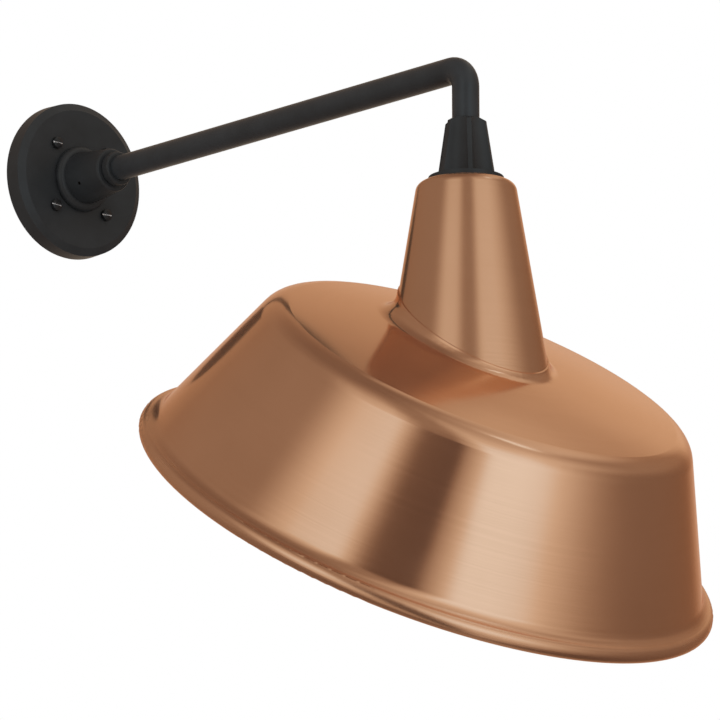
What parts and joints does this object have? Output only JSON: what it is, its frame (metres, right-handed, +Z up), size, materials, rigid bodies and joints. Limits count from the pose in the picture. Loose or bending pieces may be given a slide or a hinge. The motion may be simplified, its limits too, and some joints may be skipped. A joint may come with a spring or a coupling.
{
  "type": "barn light",
  "caption": "Wall light of the barn kind: a round cast plate holds a bent pipe arm, from which a spun copper shade hangs by its tapered neck with the dish leaning.",
  "frame": {"origin": "middle of the wall side of the round plate, on the arm's axis, where the plate's gasket meets the wall", "axes": "+Y into the wall, the arm runs along -Y, +Z up, +X to the right for someone who faces the wall"},
  "size_m": [0.4781, 0.6947, 0.5599],
  "materials": {
    "black_casting": "satin black powder coat on cast metal",
    "black_pipe": "satin black powder coat",
    "black_screw": "black, with bare metal in the slots",
    "copper": "spun copper, brushed round its axis and lacquered",
    "steel": "zinc plated",
    "earth_screw": "green earth screw",
    "seal": "black foam rubber",
    "porcelain": "white glaze",
    "brass": "bright",
    "bulb_shell": "bright rolled thread",
    "bulb_insulator": "dark glass",
    "clear_glass": "clear",
    "filament": "tungsten",
    "black_lead": "black insulation",
    "white_lead": "white insulation"
  },
  "bodies": {
    "wall_side": {"wall_gasket": "seal", "wall_plate": "black_casting", "wall_screws": "black_screw", "hub_set_screw": "black_screw", "earth_screw": "earth_screw"},
    "arm": {"arm_tube": "black_pipe", "arm_lock_ring": "black_casting", "arm_lead_black": "black_lead", "arm_lead_white": "white_lead"},
    "shade": {"ribbed_hub": "black_casting", "ribbed_hub_screw": "black_screw", "neck_gasket": "seal", "neck_nipple": "steel", "neck_washer": "steel", "neck_locknut": "steel", "shade_neck": "copper", "shade_dish": "copper", "lampholder_cap": "steel", "lampholder_porcelain": "porcelain", "lampholder_shell": "brass", "lampholder_contact": "brass", "tail_lead_black": "black_lead", "tail_lead_white": "white_lead"},
    "bulb": {"bulb_contact": "brass", "bulb_insulator": "bulb_insulator", "bulb_shell": "bulb_shell", "bulb_glass": "clear_glass", "bulb_stem": "clear_glass", "bulb_filament": "filament"}
  },
  "joints": [
    {"name": "arm_turn", "type": "hinge", "parent": "wall_side", "child": "arm", "pos_m": [0, -0.04, 0], "axis": [0, 1, 0], "range_deg": [-10, 10]},
    {"name": "shade_swivel", "type": "hinge", "parent": "arm", "child": "shade", "pos_m": [0, -0.508, -0.06], "axis": [0, 0, 1], "range_deg": [-170, 170]},
    {"name": "bulb_out", "type": "slide", "parent": "shade", "child": "bulb", "axis": [0, 0, -1], "range_m": [0, 0.028]}
  ]
}
